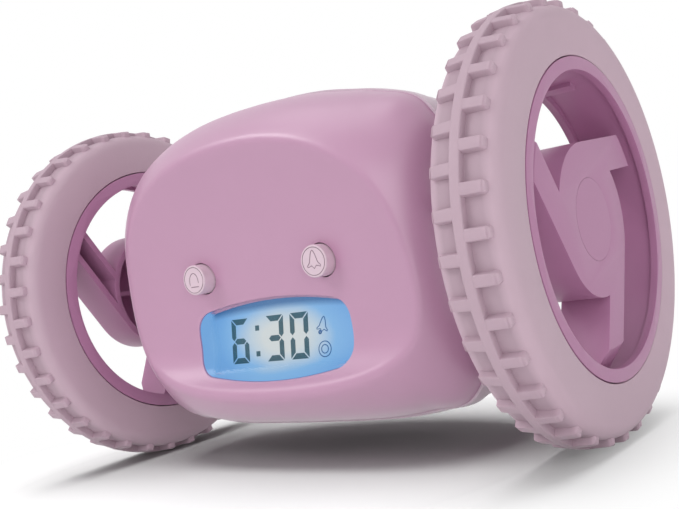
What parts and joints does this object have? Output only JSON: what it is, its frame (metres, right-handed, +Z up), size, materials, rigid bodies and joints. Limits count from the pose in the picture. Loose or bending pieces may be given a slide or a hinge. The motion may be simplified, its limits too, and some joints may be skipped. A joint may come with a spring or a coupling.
{
  "type": "alarm clock",
  "caption": "Barrel-shaped alarm clock with a scooped face, round buttons and a display window, carried between toothed wheels that are driven by separate motors.",
  "frame": {"origin": "on the floor under the middle of the wheel axles, midway between the wheels", "axes": "+Z up; +X along the wheel axles, towards the right-hand wheel; the face looks along -Y"},
  "size_m": [0.136, 0.086, 0.086],
  "materials": {
    "case_front": "satin moulded",
    "case_rear": "satin moulded",
    "tyre": "matt soft rubber",
    "rim": "satin moulded",
    "button": "satin moulded",
    "lens": "clear",
    "display": "backlit",
    "guide": "clear",
    "frame": "matt",
    "contact_rubber": "matt",
    "board": "lacquered",
    "switch": "moulded",
    "gear": "moulded",
    "gearbox": "moulded",
    "steel": "plated",
    "brass": "turned",
    "cell": "wrapped",
    "tray": "matt",
    "speaker": "matt"
  },
  "bodies": {
    "casing": {"front_shell": "case_front", "rear_shell": "case_rear", "window_lens": "lens", "lcd_glass": "display", "lcd_frame": "frame", "light_guide": "guide", "lcd_connector": "contact_rubber", "main_board": "board", "key_board": "board", "button_switches": "switch", "key_switches": "switch", "speaker": "speaker", "battery_tray": "tray", "contact_springs": "steel", "contact_plates": "steel", "case_screws": "steel", "board_screws": "steel", "gearbox_screws": "steel", "battery_1": "cell", "battery_2": "cell", "battery_3": "cell", "battery_4": "cell", "left_motor": "steel", "left_cluster_pin": "steel", "left_bush": "brass", "left_gear_plate": "gearbox", "left_gear_cover": "gearbox", "right_motor": "steel", "right_cluster_pin": "steel", "right_bush": "brass", "right_gear_plate": "gearbox", "right_gear_cover": "gearbox"},
    "snooze": {"snooze_button": "button"},
    "alarm": {"alarm_button": "button"},
    "hour": {"hour_key": "button"},
    "minute": {"minute_key": "button"},
    "door": {"battery_door": "case_rear"},
    "left_wheel": {"left_rim": "rim", "left_tyre": "tyre", "left_hub_cap": "rim", "left_wheel_screw": "steel", "left_axle": "steel", "left_output_gear": "gear"},
    "left_cluster": {"left_cluster_gear": "gear"},
    "left_armature": {"left_pinion": "brass", "left_motor_shaft": "steel"},
    "right_wheel": {"right_rim": "rim", "right_tyre": "tyre", "right_hub_cap": "rim", "right_wheel_screw": "steel", "right_axle": "steel", "right_output_gear": "gear"},
    "right_cluster": {"right_cluster_gear": "gear"},
    "right_armature": {"right_pinion": "brass", "right_motor_shaft": "steel"}
  },
  "joints": [
    {"name": "left_wheel_spin", "type": "hinge", "parent": "casing", "child": "left_wheel", "pos_m": [0, 0, 0.043], "axis": [1, 0, 0], "continuous": true},
    {"name": "left_cluster_spin", "type": "hinge", "parent": "casing", "child": "left_cluster", "pos_m": [0, 0.00739, 0.05181], "axis": [1, 0, 0], "continuous": true},
    {"name": "left_armature_spin", "type": "hinge", "parent": "casing", "child": "left_armature", "pos_m": [0, 0.00016, 0.06043], "axis": [1, 0, 0], "continuous": true},
    {"name": "right_wheel_spin", "type": "hinge", "parent": "casing", "child": "right_wheel", "pos_m": [0, 0, 0.043], "axis": [1, 0, 0], "continuous": true},
    {"name": "right_cluster_spin", "type": "hinge", "parent": "casing", "child": "right_cluster", "pos_m": [0, 0.00739, 0.05181], "axis": [1, 0, 0], "continuous": true},
    {"name": "right_armature_spin", "type": "hinge", "parent": "casing", "child": "right_armature", "pos_m": [0, 0.00016, 0.06043], "axis": [1, 0, 0], "continuous": true},
    {"name": "snooze_press", "type": "slide", "parent": "casing", "child": "snooze", "axis": [0, 1, 0], "range_m": [0, 0.001], "stiffness_N_per_m": 400},
    {"name": "alarm_press", "type": "slide", "parent": "casing", "child": "alarm", "axis": [0, 1, 0], "range_m": [0, 0.001], "stiffness_N_per_m": 400},
    {"name": "hour_press", "type": "slide", "parent": "casing", "child": "hour", "axis": [0, -1, 0], "range_m": [0, 0.0008], "stiffness_N_per_m": 400},
    {"name": "minute_press", "type": "slide", "parent": "casing", "child": "minute", "axis": [0, -1, 0], "range_m": [0, 0.0008], "stiffness_N_per_m": 400},
    {"name": "battery_door_hinge", "type": "hinge", "parent": "casing", "child": "door", "pos_m": [0, 0.02483, 0.01173], "axis": [-1, 0, 0], "range_deg": [0, 70]}
  ],
  "couplings": [
    {"joint": "left_cluster_spin", "follows": "left_wheel_spin", "ratio": -3.6},
    {"joint": "left_armature_spin", "follows": "left_wheel_spin", "ratio": 14.4},
    {"joint": "right_cluster_spin", "follows": "right_wheel_spin", "ratio": -3.6},
    {"joint": "right_armature_spin", "follows": "right_wheel_spin", "ratio": 14.4}
  ]
}
